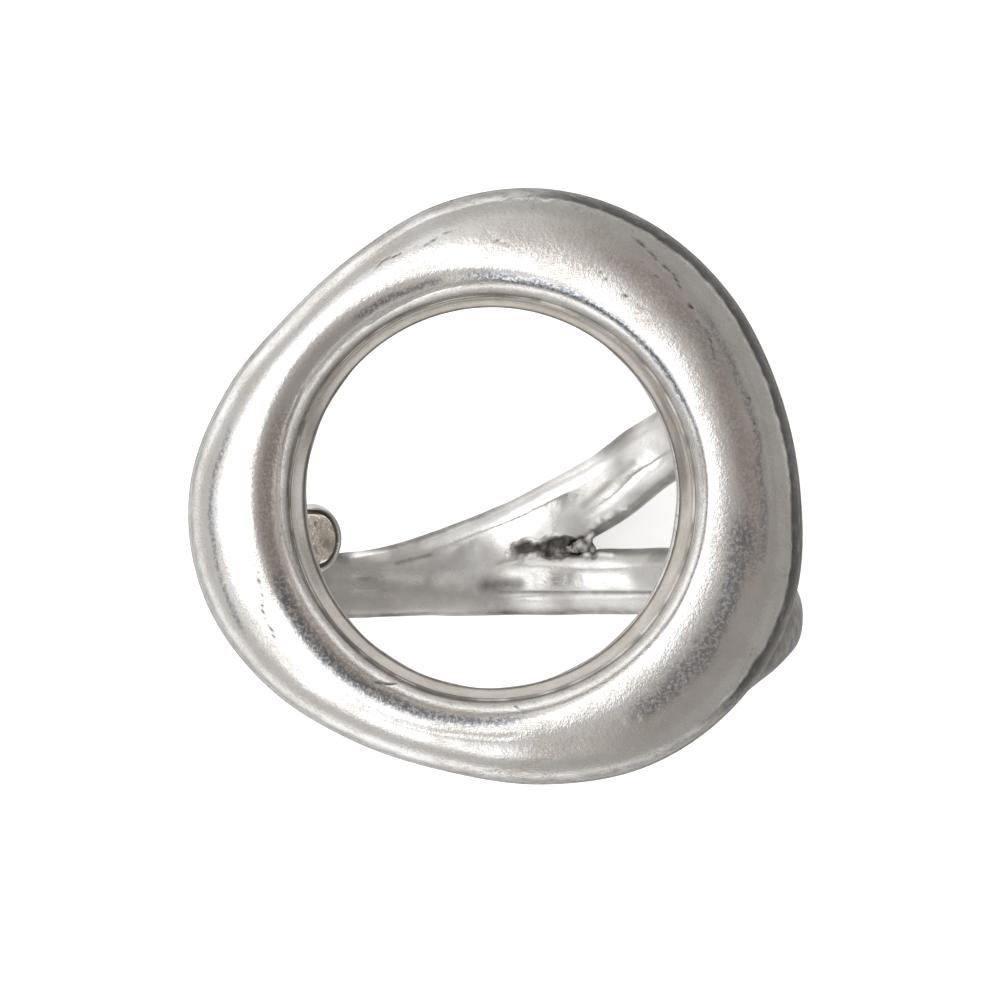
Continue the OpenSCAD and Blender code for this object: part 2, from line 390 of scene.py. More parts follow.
def dome_section(angle, turns, inset):
    """One section of the dome, at the turns that the dulled bands are given in."""
    outside = turns < 90
    crest = CREST_MIDDLE + CREST_R * around(angle)
    foot = FACE_MIDDLE + (face_radius(angle) - inset) * around(angle)
    rim = HOLE_MIDDLE + (RIM_R + DOME_OVERLAP + inset) * around(angle)
    low = np.where(outside[:, None], foot, rim)
    t = np.radians(turns)
    spot = crest + (low - crest) * np.abs(np.cos(t))[:, None] ** DOME_FULLNESS
    base = np.where(outside, SEAT_Z, COLLAR_TOP + 0.02)
    rise = (DOME_TOP - inset - base) * np.sin(t).clip(0) ** DOME_FULLNESS
    return np.column_stack([spot, base + rise])


def face_marks(points):
    """How strongly each point is scratched and pitted, and how deep the scratches are."""
    flat = points[:, :2] - HOLE_MIDDLE
    angle = np.degrees(np.arctan2(flat[:, 1], flat[:, 0]))
    radius = np.linalg.norm(flat, axis=1)
    wobble = 0.05 * np.sin(np.radians(angle) * 23) + 0.03 * np.sin(np.radians(angle) * 51)
    scratched = np.zeros(len(points))
    depth = np.zeros(len(points))
    for a0, r0, a1, r1, width, deep in FACE_SCRATCHES:
        along, ends = run_along(angle, a0, a1)
        away = np.abs(radius - (r0 + (r1 - r0) * along) - wobble)
        line = ends * eased(1 - away / width, 0, 1)
        scratched = np.maximum(scratched, line)
        depth = np.maximum(depth, line * deep)
    pitted = np.zeros(len(points))
    for a0, r0, spread_a, spread_r in PITTED_PATCHES:
        near = (angle_gap(angle, a0) / spread_a) ** 2 + ((radius - r0) / spread_r) ** 2
        pitted = np.maximum(pitted, eased(1.6 - near, 0, 1.3))
    return scratched, pitted, depth


def face_dome():
    """The hollow dome: a smooth skin with soft hammer marks, scratches and pitted patches."""
    angles = np.linspace(0, 2 * np.pi, DOME_SIDES, endpoint=False)
    outside = np.linspace(0, 180, DOME_OUTER_STEPS)
    inside = np.linspace(180, 0, DOME_INNER_STEPS)
    rings = [np.vstack([dome_section(a, outside, 0), dome_section(a, inside, SHEET_T)])
             for a in angles]
    made = closed_loft("domed_front", rings, wrap=True)
    points = places(made)
    height = points[:, 2]
    outer = np.tile(np.arange(len(rings[0])) < len(outside), len(angles))
    below_top = eased(DOME_TOP + 0.05 - height, 0, 0.25)
    clear = eased(height, SEAT_Z + 0.1, SEAT_Z + 0.8) * below_top * outer
    scratched, pitted, depth = face_marks(points)
    turn = np.tile(np.concatenate([outside, inside]), len(angles))
    azimuth = np.degrees(np.repeat(angles, len(rings[0])))
    ripple = 0.018 * cloud(points, 0.35, 1) + 0.0045 * cloud(points, 1.7, 2)
    wander = turn + 2 * cloud(points, 0.8, 4)
    ridges = np.sum([band_share(azimuth, wander, ridge) for ridge in RIDGES], axis=0)
    pits = np.maximum(0, cloud(points, 4.1, 3, 3) - 0.15) * pitted * 0.06
    swell(made, ripple * clear + (ridges - depth - pits) * outer)
    radius = np.linalg.norm(points[:, :2] - HOLE_MIDDLE, axis=1)
    # Painted shade: the strip along the right edge, the darkening towards the dome's foot and the
    # darkening near the hole on the inner slope stand in for dim reflections there. The cracked
    # scratches are real wear.
    ragged = 2.5 * cloud(points, 1.1, 6, 3)
    right = eased(STRIP_HALF - angle_gap(azimuth, STRIP_ANGLE), 0, 22)
    strip = right * (1 - eased(turn + ragged, 25, 30))
    edge = 0.5 * (1 - eased(turn + ragged, 14, 34)) + 0.12 * (1 - eased(turn, 30, 60))
    rim = eased(7.1 - radius, 0, 0.25) * 0.45 * (turn > 90)
    cracked = scratched * eased(cloud(points, 2.2, 10, 3), -0.35, 0.1)
    mark(made, "tarnish_and_shade", np.maximum.reduce([strip, edge, rim, cracked]))
    for name, bands, seed in (("blued_reflection", BLUED_REFLECTION_BANDS, 7), ("browned_reflection", BROWNED_REFLECTION_BANDS, 9)):
        wander = turn + 5 * cloud(points, 0.5, seed, 3)
        shares = [band_share(azimuth, wander, band) for band in bands]
        mark(made, name, np.max(shares, axis=0) * outer)
    mark(made, "pitted", np.maximum(pitted * 0.8, scratched))
    return made


def hole_edge(angle):
    """The hole's edge, which a file left slightly out of round."""
    radius = (HOLE_R - 0.1 * np.cos(2 * angle) + 0.012 * np.sin(7 * angle)
              + 0.01 * np.sin(19 * angle + 1))
    return HOLE_MIDDLE + np.array([-0.02, 0.04]) + radius * around(angle)


def face_plate():
    """The back plate, with softened edges and a filed hole."""
    angles = np.linspace(0, 2 * np.pi, HOLE_SIDES, endpoint=False)
    rings = []
    for a in angles:
        edge = FACE_MIDDLE + (face_radius(a) + PLATE_LIP) * around(a)
        hole = hole_edge(a)
        inward = (hole - edge) / np.linalg.norm(hole - edge)
        rows = [(edge + inward * 0.02, PLATE_Z + 0.05), (edge, PLATE_Z + 0.12)]
        rows += [(edge, z) for z in np.linspace(PLATE_Z + 0.2, SEAT_Z - 0.2, 3)]
        rows += [(edge, SEAT_Z - 0.1), (edge + inward * 0.02, SEAT_Z - 0.04),
                 (edge + inward * 0.08, SEAT_Z)]
        rows += [(hole - inward * (0.1 + 0.4 * k), SEAT_Z) for k in (4, 3, 2, 1)]
        rows += [(hole - inward * 0.14, SEAT_Z + 0.02), (hole - inward * 0.07, SEAT_Z + 0.02),
                 (hole - inward * 0.02, SEAT_Z - 0.02), (hole, SEAT_Z - 0.09),
                 (hole, PLATE_Z + 0.12), (hole - inward * 0.03, PLATE_Z + 0.03),
                 (hole - inward * 0.09, PLATE_Z)]
        under = np.linspace(0.1, 0.97, 10)[:, None]
        rows += [(spot, PLATE_Z) for spot in hole + (edge - hole) * under]
        rings.append([[*spot, z] for spot, z in rows])
    made = closed_loft("back_plate", rings, wrap=True)
    points = places(made)
    from_hole = np.linalg.norm(points[:, :2] - HOLE_MIDDLE, axis=1)
    # Painted shade on the plate's underside, which the shank reflects; darker also near the hole
    # and towards the outer lip.
    under = 0.85 * (points[:, 2] < PLATE_Z + 0.08)
    ledge = 0.3 * eased(RIM_R + 0.1 - from_hole, 0, 0.35)
    lip = 0.35 * eased(from_hole, 8.8, 9.2)
    mark(made, "tarnish_and_shade", np.maximum(under, ledge + lip))
    mark(made, "pitted", 0.25 * eased(cloud(points, 0.5, 5), 0, 0.6))
    return made


def hole_collar():
    """The collar in the hole: a coned wall, with a crack at its foot and a raised seam on top."""
    angles = np.linspace(0, 2 * np.pi, HOLE_SIDES, endpoint=False)
    rings = []
    for a in angles:
        foot = HOLE_R + 0.03 - 0.05 * np.cos(2 * a)
        lean = RIM_R - foot
        rows = [(foot + 0.1, SEAT_Z - 0.02), (foot, SEAT_Z + 0.07)]
        rows += [(foot + lean * share + 0.05 * np.sin(np.pi * share), SEAT_Z + 0.07 + 1.02 * share)
                 for share in np.linspace(0.08, 0.94, 10)]
        rows += [(RIM_R + 0.005, COLLAR_TOP - 0.14), (RIM_R + 0.06, COLLAR_TOP - 0.06),
                 (RIM_R + 0.09, COLLAR_TOP - 0.1), (RIM_R + 0.12, COLLAR_TOP - 0.02),
                 (RIM_R + 0.14, COLLAR_TOP + 0.06), (RIM_R + 0.18, COLLAR_TOP + 0.08),
                 (RIM_R + 0.22, COLLAR_TOP + 0.06), (RIM_R + 0.24, COLLAR_TOP - 0.06),
                 (RIM_R + 0.3, COLLAR_TOP - 0.2), (foot + 0.5, SEAT_Z - 0.02)]
        rings.append([[*(HOLE_MIDDLE + r * around(a)), z] for r, z in rows])
    made = closed_loft("hole_lining", rings, wrap=True)
    points = places(made)
    foot = eased(SEAT_Z + 0.26 - points[:, 2], 0, 0.2)
    seam = eased(points[:, 2], COLLAR_TOP - 0.16, COLLAR_TOP - 0.06)
    seam = seam * eased(cloud(points, 1.2, 8), -0.3, 0.4)
    mark(made, "tarnish_and_shade", 0.12 + 0.85 * foot + 0.5 * seam)
    mark(made, "pitted", 0.4 * foot)
    return made


# ---- Shank ----


def wire(name, rows, sides, step, rounded):
    """A wire swept along its stations, and cut level with the back plate."""
    fine = stations(rows, np.linspace(0, len(rows) - 1, WIRE_SAMPLES))
    a = np.radians(fine[:, 0])
    r = FINGER_R + fine[:, 1]
    line = np.column_stack([r * np.sin(a), fine[:, 2], -r * np.cos(a)])
    length = np.concatenate([[0], np.cumsum(np.linalg.norm(np.diff(line, axis=0), axis=1))])
    marks = np.arange(0, length[-1], step)
    if rounded:
        nose = TIP_ROUND * (1 - np.cos(np.linspace(0.03, np.pi / 2, 40)))
        marks = np.concatenate([nose, marks[marks > TIP_ROUND + step / 2]])
    pick = [np.interp(marks, length, column) for column in (*line.T, *fine.T)]
    middle = np.column_stack(pick[:3])
    at = np.column_stack(pick[3:])
    run = np.gradient(line, length, axis=0)
    run = np.column_stack([np.interp(marks, length, run[:, k]) for k in range(3)])
    run /= np.linalg.norm(run, axis=1)[:, None]
    b = np.radians(at[:, 0])
    out = np.column_stack([np.sin(b), np.zeros_like(b), -np.cos(b)])
    across = np.cross(out, run)
    across /= np.linalg.norm(across, axis=1)[:, None]
    up = np.cross(run, across)
    share = np.ones_like(marks)
    if rounded:
        share = np.sqrt(1 - (1 - np.minimum(1, marks / TIP_ROUND)) ** 2)
    turn = np.linspace(0, 2 * np.pi, sides, endpoint=False)
    wide = signed_power(np.cos(turn), 2 / SQUARENESS)
    tall = signed_power(np.sin(turn), 2 / SQUARENESS)
    half_w = (at[:, 3] / 2 * share)[:, None, None]
    half_t = (at[:, 4] / 2 * share ** 0.6)[:, None, None]
    rings = (middle[:, None, :] + across[:, None, :] * half_w * wide[None, :, None]
             + up[:, None, :] * half_t * tall[None, :, None])
    made = closed_loft(name, rings, wrap=False)
    points = places(made)
    points[:, 2] = np.minimum(points[:, 2], JOIN_Z)
    move_to(made, points)
    return made


def clear_of_finger(made, soft=0.02):
    """Presses the points inside the finger opening out to its surface."""
    points = places(made)
    reach = from_axis(points)
    gap = reach - FINGER_R
    pressed = FINGER_R + (gap + np.sqrt(gap ** 2 + soft ** 2)) / 2
    points[:, [0, 2]] *= (pressed / reach)[:, None]
    move_to(made, points)


# The fork's crevice and the beads of solder beside it: start x and y, end x and y, half width
FORK_CREVICE = [0.85, -1.72, 3.1, -1.6, 0.42]
FORK_BEADS = [
    [0.35, -1.85, 0.5, -1.85, 0.22],
    [3.2, -0.95, 3.5, -0.75, 0.2],
    [3.8, -0.6, 4.0, -0.5, 0.18],
    [4.3, -0.3, 4.4, -0.28, 0.16],
    [2.95, -1.85, 3.9, -1.85, 0.12]]
# The pitted stretch round the crevice, in the same terms
FORK_PITTING = [0.6, -1.7, 3.6, -1.4, 0.9]
# Painted highlights and painted shade on the shank's inside, standing in for its reflections and
# the shadow by the tag: start x and y, end x and y, half width, how dark
SHANK_PAINTED_LIGHT = [
    [0.1, -1.1, 3.2, 1, 0.95, 0],
    [3.5, 0.1, 5.4, 1.4, 0.6, 0],
    [2.9, -0.2, 4.6, 1.3, 0.2, 0.55],
    [0.4, -2.75, 4.2, -2.75, 0.6, 0],
    [4.8, -2.6, 8, -2.6, 0.5, 0.45],
    [-0.5, -2.95, 0.6, -2.95, 0.45, 0.85],
    [-2, -2.8, -1.5, -2.8, 0.5, 0],
    [-5, -2.7, -2.8, -2.75, 0.3, 0],
    [-5.2, -1.95, -4, -1.95, 0.28, 0],
    [-5, -3.15, -3.8, -3.15, 0.26, 0.1],
    [-2.6, -1.6, -0.6, -0.9, 0.3, 0.15],
    [-6, -1.9, -5.4, -1.9, 0.5, 0.9],
    [-2.4, -1.9, -3.6, -2.2, 0.12, 0.75],
    [0, -3.2, 6, -3.2, 0.1, 0.8]]


def stroke(points, line, blur):
    """1 on a straight stroke seen from above, fading to 0 at its half width."""
    x0, y0, x1, y1, half = line
    run = np.array([x1 - x0, y1 - y0])
    at = points[:, :2] - [x0, y0]
    share = np.clip(at @ run / (run @ run), 0, 1)
    away = np.linalg.norm(at - share[:, None] * run, axis=1)
    return eased(1 - away / half + blur, 0, 1)


def plate_shade(points):
    """Painted shade on the arms just under the plate."""
    return 0.5 * eased(points[:, 2], 7.4, 8.3)


def forked_shank():
    """The band under the finger and its two arms, flowed together at the fork."""
    wires = [wire("lower", LOWER_WIRE, SHANK_SIDES, SHANK_STEP, True),
             wire("upper", UPPER_WIRE, SHANK_SIDES, SHANK_STEP, False)]
    made = remeshed(joined("forked_shank", wires), 0.07, 6)
    clear_of_finger(made)
    points = places(made)
    level = eased(PLATE_Z - points[:, 2], 0, 0.6)
    inner = points[:, 2] < -7.2
    crevice = stroke(points, FORK_CREVICE, 0.6 * cloud(points, 1.9, 14, 3)) * inner
    rough = 0.5 + 0.9 * np.maximum(0, cloud(points, 3.4, 15, 3) + 0.3)
    ripple = (0.03 * cloud(points, 0.5, 11) + 0.004 * cloud(points, 2.2, 12)) * level
    swell(made, ripple - 0.3 * crevice * rough)
    beads = np.max([stroke(points, bead, 0) for bead in FORK_BEADS], axis=0) * inner
    swell(made, beads * (0.05 + 0.05 * cloud(points, 3.1, 16)))
    reach = from_axis(points)
    facing = -(points[:, [0, 2]] * normals(made)[:, [0, 2]]).sum(axis=1) / reach
    inside = eased(facing, -0.3, 0.2) * eased(-points[:, 2], 1, 4)
    blur = 0.15 * cloud(points, 0.9, 17)
    # Painted shade on the steeper parts of the inside, then the listed painted highlights and
    # shade.
    steep_shade = eased(0.85 - normals(made)[:, 2], 0, 0.4)
    wear_and_shade = 0.36 + 0.25 * cloud(points, 0.6, 18) + 0.35 * steep_shade * inside
    for tone in SHANK_PAINTED_LIGHT:
        share = stroke(points, tone[:5], blur) * inside
        wear_and_shade = wear_and_shade + (tone[5] - wear_and_shade) * share
    # Painted shade on the lower right outer side, for its dim reflections.
    outer_side = eased(reach, FINGER_R + 0.9, FINGER_R + 1.5)
    lower_right_shade = 0.78 * outer_side * eased(points[:, 0], 4, 8) * eased(-points[:, 1], -1, 3)
    dark = [wear_and_shade, lower_right_shade, crevice * 1.3, plate_shade(points)]
    mark(made, "tarnish_and_shade", np.maximum.reduce(dark))
    near_fork = stroke(points, FORK_PITTING, 0) * inner
    patchy = eased(cloud(points, 1.4, 19), -0.3, 0.3)
    mark(made, "pitted", np.maximum(crevice, 0.6 * near_fork * patchy))
    return made


def tag_distance(points):
    """How far each point is from the tag's outline, along the arm's surface. Inside is negative."""
    along = (np.arctan2(points[:, 0], -points[:, 2]) - TAG_ANGLE) * TAG_PATH_R
    past = np.maximum(np.abs(along) - TAG_RUN / 2, 0)
    return np.hypot(past, points[:, 1] - TAG_Y) - TAG_R


def left_arm():
    """The wire on the left, whose free end has a sunk seat for the tag."""
    made = wire("left_wire", LEFT_WIRE, LEFT_SIDES, LEFT_STEP, True)
    clear_of_finger(made)
    points = places(made)
    reach = from_axis(points)
    free_end = np.arctan2(points[:, 0], -points[:, 2]) > np.radians(-80)
    top = (reach < TAG_PATH_R) & free_end
    gap = tag_distance(points)
    sunk = eased(TAG_GROOVE + 0.02 - gap, 0, 0.05) * top
    bead = 0.03 * np.exp(-((gap - TAG_GROOVE - 0.1) / 0.05) ** 2) * top
    bead = bead * (1 + 0.5 * cloud(points, 2.5, 22))
    lowered = (FINGER_R + TAG_SEAT + 0.02 - reach).clip(0) * sunk - bead
    points[:, [0, 2]] *= (1 + lowered / reach)[:, None]
    move_to(made, points)
    level = eased(PLATE_Z - points[:, 2], 0, 0.6) * (1 - sunk)
    swell(made, 0.008 * cloud(points, 0.8, 21) * level)
    near_tag = 0.25 * eased(0.5 - np.abs(gap), 0, 0.4)
    wear_and_shade = 0.3 + 0.25 * cloud(points, 0.6, 23)
    dark = [wear_and_shade, 0.7 * sunk, near_tag, plate_shade(points)]
    mark(made, "tarnish_and_shade", np.maximum.reduce(dark))
    mark(made, "pitted", 0.5 * sunk)
    return made


def end_tag():
    """The oval tag in the arm's free end, with a hammered face."""
    turn = np.linspace(0, 2 * np.pi, TAG_SIDES, endpoint=False)
    bends = np.sign(np.cos(turn)) * TAG_RUN / 2
    rings = []
    steps = [(inside, 0) for inside in (0.02, 0.1, 0.2, 0.3, 0.4, 0.5, 0.58, 0.66, 0.74)]
    steps += [(0.8, 0.005), (0.85, 0.03), (TAG_R, 0.08), (TAG_R, 0.2), (TAG_R - 0.02, 0.29),
              (0.5, 0.29), (0.02, 0.29)]
    for inside, drop in steps:
        along = bends + inside * np.cos(turn)
        angle = TAG_ANGLE + along / TAG_PATH_R
        depth = FINGER_R + TAG_RECESS + drop
        rings.append(np.column_stack([depth * np.sin(angle), TAG_Y + inside * np.sin(turn),
                                      -depth * np.cos(angle)]))
    made = remeshed(closed_loft("end_tag_face", rings, wrap=False), 0.035, 2)
    points = places(made)
    reach = from_axis(points)
    face = eased(FINGER_R + TAG_RECESS + 0.07 - reach, 0, 0.04)
    dents = 0.035 * cloud(points, 2.1, 31, 3) + 0.03 * np.minimum(0, cloud(points, 4.5, 32))
    points[:, [0, 2]] *= (1 - np.minimum(dents, 0.05) * face / reach)[:, None]
    move_to(made, points)
    mark(made, "tarnish_and_shade", 0.1 + 0.5 * eased(-dents, 0.0, 0.03) * face + 0.6 * (1 - face))
    mark(made, "pitted", 0.8 * face)
    return made


# ---- Solder ----


def fork_solder():
    """Rough, pitted solder in the crotch of the fork."""
    made = remeshed(copied("fork_solder_lumps", "fork_solder"), 0.035, 3)
    points = places(made)
    swell(made, 0.05 * cloud(points, 3.2, 41, 3) + 0.02 * cloud(points, 8, 42) + 0.02)
    mark(made, "tarnish_and_shade", 0.6 + 0.5 * cloud(points, 4, 43))
    mark(made, "pitted", np.ones(len(points)))
    return made


def foot_solder(name, node, seed):
    """A smooth fillet of solder round the foot of an arm."""
    made = remeshed(copied(name, node), 0.06, 5)
    points = places(made)
    points[:, 2] += 0.3 * eased(points[:, 2], PLATE_Z - 0.5, PLATE_Z - 0.1)
    points[:, 2] = np.minimum(points[:, 2], JOIN_Z)
    move_to(made, points)
    swell(made, 0.02 * cloud(points, 1.4, seed) + 0.008 * cloud(points, 5, seed + 1) + 0.012)
    mark(made, "tarnish_and_shade", 0.45 + 0.4 * cloud(points, 1.5, seed + 2))
    mark(made, "pitted", 0.6 * eased(cloud(points, 1.3, seed + 3), -0.2, 0.5))
    return made


# ---- Materials ----


class Graph:
    """A small helper for building a node tree."""

    def __init__(self, tree):
        self.tree = tree

    def add(self, kind, inputs, output=0, **settings):
        """Adds a node and returns an output. Inputs are numbers or other nodes' outputs."""
        node = self.tree.nodes.new("ShaderNode" + kind)
        for name, value in settings.items():
            setattr(node, name, value)
        for key, value in inputs.items():
            if isinstance(value, bpy.types.NodeSocket):
                self.tree.links.new(value, node.inputs[key])
            else:
                node.inputs[key].default_value = value
        return node.outputs[output]

    def math(self, operation, a, b=0.0):
        return self.add("Math", {0: a, 1: b}, operation=operation)

    def ease(self, value, low, high, start=0.0, end=1.0):
        """Start below low, end above high, and smooth between."""
        inputs = {"Value": value, "From Min": low, "From Max": high, "To Min": start, "To Max": end}
        return self.add("MapRange", inputs, interpolation_type="SMOOTHSTEP")

    def line(self, value, middle, inner, outer):
        """1 where a value is near the middle, 0 beyond outer, and smooth between."""
        return self.ease(self.math("ABSOLUTE", self.math("SUBTRACT", value, middle)), inner, outer,
                         1, 0)

    def clouds(self, vector, scale, detail=2.0, rough=0.5):
        inputs = {"Vector": vector, "Scale": scale, "Detail": detail, "Roughness": rough}
        return self.add("TexNoise", inputs)

    def towards(self, vector, way):
        """How far a vector points along a direction."""
        return self.add("VectorMath", {0: vector, 1: way}, output=1, operation="DOT_PRODUCT")

    def stretched(self, vector, turn, scale):
        return self.add("Mapping", {"Vector": vector, "Rotation": turn, "Scale": scale})

    def colour(self, share, a, b):
        """A mix of two colours, each an RGB triple or another node's output."""
        ends = [v if isinstance(v, bpy.types.NodeSocket) else (*v, 1) for v in (a, b)]
        inputs = {"Factor": share, 6: ends[0], 7: ends[1]}
        return self.add("Mix", inputs, output=2, data_type="RGBA")

    def attribute(self, name):
        return self.add("Attribute", {}, output=2, attribute_name=name)


# The colours of the dome's bands of wear and painted reflection, by the mark that shows them
BAND_COLOURS = (("browned_reflection", (0.6, 0.53, 0.5)), ("blued_reflection", (0.27, 0.3, 0.355)))
# Rotations of the sets of fine scuffs, and the noise level along which each set is drawn
SCUFF_SETS = (((0.2, 0.1, 0.5), 0.45), ((0.1, 0.3, 1.7), 0.5), ((0.3, 0.2, 2.6), 0.55))
RELIEF_HEIGHT = 0.0075 * MM


def scuff_lines(g, spot, broad):
    """Thin scuffs in several directions, where the broad clouds let them show."""
    scuffed = None
    for tilt, middle in SCUFF_SETS:
        strokes = g.clouds(g.stretched(spot, tilt, (0.35, 6.5, 3.0)), 1.6, 2, 0.5)
        thin = g.line(strokes, middle, 0.0, 0.012)
        scuffed = thin if scuffed is None else g.math("MAXIMUM", scuffed, thin)
    return g.math("MULTIPLY", scuffed, g.ease(broad, 0.4, 0.62))


def turned_lines(g, spot):
    """Fine lines round the hole's axis, left by turning."""
    height = g.add("SeparateXYZ", {0: spot}, output=2)
    flat = g.add("VectorMath", {0: spot, 1: (1, 1, 0)}, operation="MULTIPLY")
    ringed = g.add("VectorMath", {0: flat}, output=1, operation="LENGTH")
    inputs = {0: g.math("MULTIPLY", ringed, 9), 1: g.math("MULTIPLY", height, 9)}
    return g.clouds(g.add("CombineXYZ", inputs), 1.0, 2, 0.6)


def aged_silver(name, tint=(0.93, 0.915, 0.9), warm=(0.83, 0.785, 0.735),
                stain_and_shade=(0.105, 0.098, 0.092), gloss=0.06, grain=1.0, scuffs=1.0, lines=0.0):
    """Worn silver with a clouded polish, fine grain and scuffs.

    It has dark stains and painted shade, pits, and bands of wear and painted reflection where a
    piece is marked for them."""
    made = bpy.data.materials.new(name)
    made.use_nodes = True
    tree = made.node_tree
    shader = tree.nodes["Principled BSDF"]
    shader.inputs["Specular IOR Level"].default_value = 0.15
    g = Graph(tree)
    metres = g.add("TexCoord", {}, output=3)
    spot = g.add("VectorMath", {0: metres, "Scale": 1 / MM}, operation="SCALE")
    fine = g.clouds(spot, 7.5, 3, 0.65)
    finer = g.clouds(spot, 21, 2, 0.6)
    broad = g.clouds(spot, 0.55, 4, 0.6)
    patch = g.clouds(spot, 1.9, 3, 0.55)
    scuffed = scuff_lines(g, spot, broad)
    crowd = g.add("TexVoronoi", {"Vector": spot, "Scale": 8.5})
    pits = g.math("MULTIPLY", g.ease(crowd, 0.1, 0.34, 1, 0), g.ease(patch, 0.42, 0.6))
    pits = g.math("MULTIPLY", pits, g.attribute("pitted"))
    wear_and_shade = g.math("MULTIPLY", g.attribute("tarnish_and_shade"), g.ease(patch, 0.2, 0.65, 0.82, 1.08))
    dark = g.math("MAXIMUM", wear_and_shade, g.math("MULTIPLY", pits, 0.95))
    specks = g.ease(g.clouds(spot, 9, 2, 0.7), 0.54, 0.64)
    specks = g.math("MULTIPLY", specks, g.ease(patch, 0.4, 0.6, 0.15, 1))
    dark = g.math("ADD", dark, g.math("MULTIPLY", specks, 0.22 * grain))
    dark = g.math("ADD", dark, g.math("MULTIPLY", scuffed, 0.22 * scuffs))
    dark = g.math("MINIMUM", dark, 1.0)
    clean = g.colour(g.ease(broad, 0.35, 0.7), tint, warm)
    flecks = g.clouds(spot, 8, 3, 0.75)
    for band, shade in BAND_COLOURS:
        share = g.math("MULTIPLY", g.ease(flecks, 0.4, 0.56, 0.15, 1), g.attribute(band))
        clean = g.colour(share, clean, shade)
    base = g.colour(dark, clean, stain_and_shade)
    tree.links.new(base, shader.inputs["Base Color"])
    metallic = g.math("SUBTRACT", 1.0, g.math("MULTIPLY", dark, 0.92))
    tree.links.new(metallic, shader.inputs["Metallic"])
    glint = g.colour(dark, (0.95, 0.95, 0.95), (0.12, 0.115, 0.11))
    tree.links.new(glint, shader.inputs["Specular Tint"])
    haze = g.math("MULTIPLY", g.ease(patch, 0.35, 0.65), 0.05 * grain)
    rough = g.math("ADD", g.math("MULTIPLY", dark, 0.4), g.math("ADD", haze, gloss))
    tree.links.new(rough, shader.inputs["Roughness"])
    relief = g.math("ADD", g.math("MULTIPLY", fine, 1.5 * grain),
                    g.math("MULTIPLY", finer, 0.6 * grain))
    relief = g.math("SUBTRACT", relief, g.math("MULTIPLY", scuffed, 0.15 * scuffs))
    relief = g.math("SUBTRACT", relief, g.math("MULTIPLY", pits, 1.2))
    if lines:
        relief = g.math("ADD", relief, g.math("MULTIPLY", turned_lines(g, spot), lines))
    bump = g.add("Bump", {"Height": relief, "Strength": 1.0, "Distance": RELIEF_HEIGHT})
    tree.links.new(bump, shader.inputs["Normal"])
    return made


MATERIALS = {
    "face_silver": aged_silver("worn polished silver"),
    "plate_silver": aged_silver(
        "satin plate silver", tint=(0.8, 0.78, 0.75), warm=(0.7, 0.66, 0.61), gloss=0.26, grain=1.2,
        scuffs=1.5),
    # A darker copy of the silver: painted shade standing in for the dim reflections inside the
    # hole. The turned lines are real.
    "collar_silver": aged_silver(
        "turned collar silver", tint=(0.54, 0.505, 0.46), warm=(0.43, 0.385, 0.33), gloss=0.14,
        grain=0.3, scuffs=0.3, lines=1.6),
    "shank_silver": aged_silver(
        "soft shank silver", tint=(0.94, 0.925, 0.905), warm=(0.84, 0.805, 0.765),
        stain_and_shade=(0.12, 0.11, 0.1), gloss=0.15, grain=0.2, scuffs=0.25),
    "tag_silver": aged_silver(
        "hammered tag silver", tint=(0.95, 0.89, 0.8), warm=(0.85, 0.77, 0.67),
        stain_and_shade=(0.12, 0.1, 0.08), gloss=0.16, grain=0.4),
    "solder": aged_silver(
        "dark solder", tint=(0.72, 0.69, 0.655), warm=(0.6, 0.56, 0.515),
        stain_and_shade=(0.04, 0.035, 0.03), gloss=0.3, grain=1.6)}


def finish(made, slot, nodes, body="ring"):
    """Scales a piece to metres, gives it its material and lets it stand for its CAD nodes.

    Without a body it is left unattached."""
    move_to(made, places(made) * MM)
    made.data.materials.append(MATERIALS[slot])
    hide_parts(*nodes)
    if body:
        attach(made, body)


finish(face_dome(), "face_silver", ["face_dome"])
finish(face_plate(), "plate_silver", ["face_back_plate"])
finish(hole_collar(), "collar_silver", ["hole_collar"])
finish(forked_shank(), "shank_silver", ["lower_band", "upper_arm"])
finish(end_tag(), "tag_silver", ["end_tag"], "left_arm")
finish(fork_solder(), "solder", ["fork_solder"])
finish(foot_solder("lower_foot_fillet", "lower_foot_solder", 51), "solder", ["lower_foot_solder"])
finish(foot_solder("upper_foot_fillet", "upper_foot_solder", 61), "solder", ["upper_foot_solder"])
finish(foot_solder("left_foot_fillet", "left_foot_solder", 71), "solder", ["left_foot_solder"])
bending = left_arm()
finish(bending, "shank_silver", ["left_arm_root", "left_arm"], None)
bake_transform(bending)

# ---- Floor, light and camera ----

# The camera's distance from the seat of the dome, and the width of its picture there, in metres
FOCUS_Z = SEAT_Z * MM
DISTANCE = 0.4
FIELD = 1 / 30
FLOOR_HALF = 0.6
# Where the floor's painted pool of light starts to fade and where it ends, in metres from the
# ring's middle
POOL_FADE = (0.0235, 0.04)
# Directions of the softbox and of the white card near the viewer
KEY_WAY = (-0.565, 0.1, 0.819)
CARD_WAY = (-0.4, -0.87, 0.29)


def camera():
    """Looks straight down on the face."""
    lens = bpy.data.cameras.new("camera")
    lens.sensor_width = 36
    lens.lens = lens.sensor_width * DISTANCE / FIELD
    lens.clip_start = 0.01
    lens.clip_end = 10
    made = bpy.data.objects.new("camera", lens)
    made.location = (0, 0, FOCUS_Z + DISTANCE)
    bpy.context.scene.collection.objects.link(made)
    bpy.context.scene.camera = made


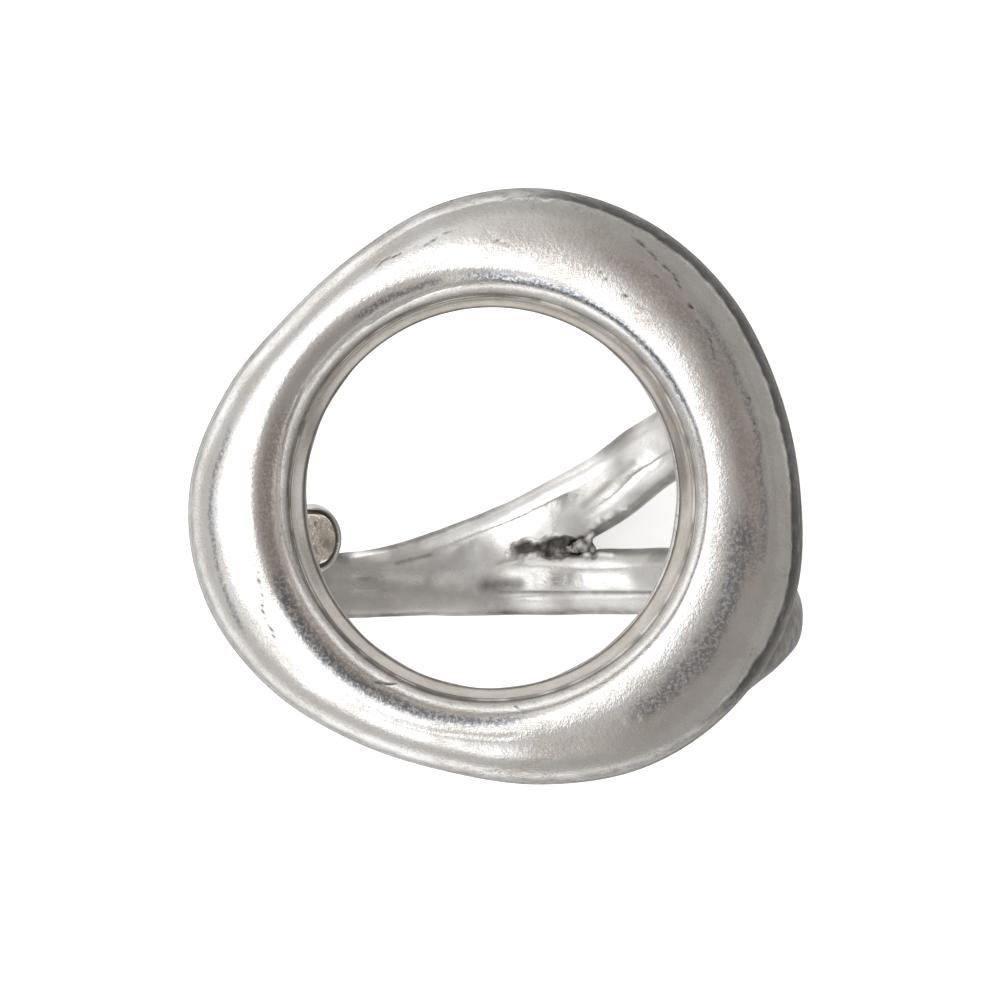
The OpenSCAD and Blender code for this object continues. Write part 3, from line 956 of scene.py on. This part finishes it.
def floor():
    """A pale floor with a painted pool of light on it: paler and glowing round the ring, and
    painted lighter to the left than to the right outside it.
    """
    z = CAD_BOX[0][2]
    corners = [(x * FLOOR_HALF, y * FLOOR_HALF, z) for x, y in ((-1, -1), (1, -1), (1, 1), (-1, 1))]
    made = new_object("floor", corners, [(0, 1, 2, 3)])
    paint = bpy.data.materials.new("pale floor")
    paint.use_nodes = True
    tree = paint.node_tree
    g = Graph(tree)
    place = g.add("TexCoord", {}, output=3)
    away = g.add("VectorMath", {0: place, 1: (0, 0, z)}, output=1, operation="DISTANCE")
    pool = g.ease(away, *POOL_FADE, 1, 0)
    # Painted light: outside the pool the floor is painted lighter on the left, where the studio is
    # bright.
    left = g.ease(g.add("SeparateXYZ", {0: place}, output=0), -0.03, 0.03, 1, 0)
    shader = tree.nodes["Principled BSDF"]
    outer = g.colour(left, (0.36, 0.35, 0.335), (0.56, 0.55, 0.54))
    tree.links.new(g.colour(pool, outer, (0.92, 0.92, 0.92)), shader.inputs["Base Color"])
    shader.inputs["Roughness"].default_value = 0.8
    # The pool glows as painted light; it is no lamp.
    shader.inputs["Emission Color"].default_value = (1, 1, 1, 1)
    tree.links.new(g.math("MULTIPLY", pool, 0.5), shader.inputs["Emission Strength"])
    made.data.materials.append(paint)


def studio():
    """Soft light: a softbox over the upper left, a bright left side and a dim right side."""
    world = bpy.data.worlds.new("studio")
    bpy.context.scene.world = world
    world.use_nodes = True
    g = Graph(world.node_tree)
    way = g.add("TexCoord", {}, output=0)
    key = g.towards(way, KEY_WAY)
    side = g.towards(way, (-1, 0, 0))
    near = g.towards(way, (0, -1, 0))
    card = g.towards(way, CARD_WAY)
    bright = g.math("ADD", g.ease(side, -0.6, 0.4, 0.3, 0.82), g.ease(card, 0.86, 0.92, 0, 0.5))
    bright = g.math("ADD", bright, g.ease(key, 0.3, 0.72, 0, 0.12))
    edge = g.line(key, 0.665, 0.01, 0.055)
    dim = g.math("MULTIPLY", edge, g.ease(near, -0.3, 0.4, 0.12, 0.6))
    bright = g.math("MULTIPLY", bright, g.math("SUBTRACT", 1.0, dim))
    bar = g.math("MULTIPLY", g.line(key, 0.9, 0.004, 0.012), g.ease(near, 0.0, 0.3, 0, 0.45))
    softbox = g.math("MULTIPLY", g.ease(key, 0.7, 0.745, 0, 0.75), g.math("SUBTRACT", 1.0, bar))
    bright = g.math("ADD", bright, softbox)
    tint = g.colour(g.ease(bright, 0.3, 0.95), (1, 0.93, 0.875), (0.985, 0.995, 1))
    tint = g.colour(dim, tint, (0.9, 0.95, 1.05))
    back = world.node_tree.nodes["Background"]
    world.node_tree.links.new(tint, back.inputs["Color"])
    world.node_tree.links.new(bright, back.inputs["Strength"])
    bpy.context.scene.view_settings.view_transform = "Standard"


camera()
floor()
studio()
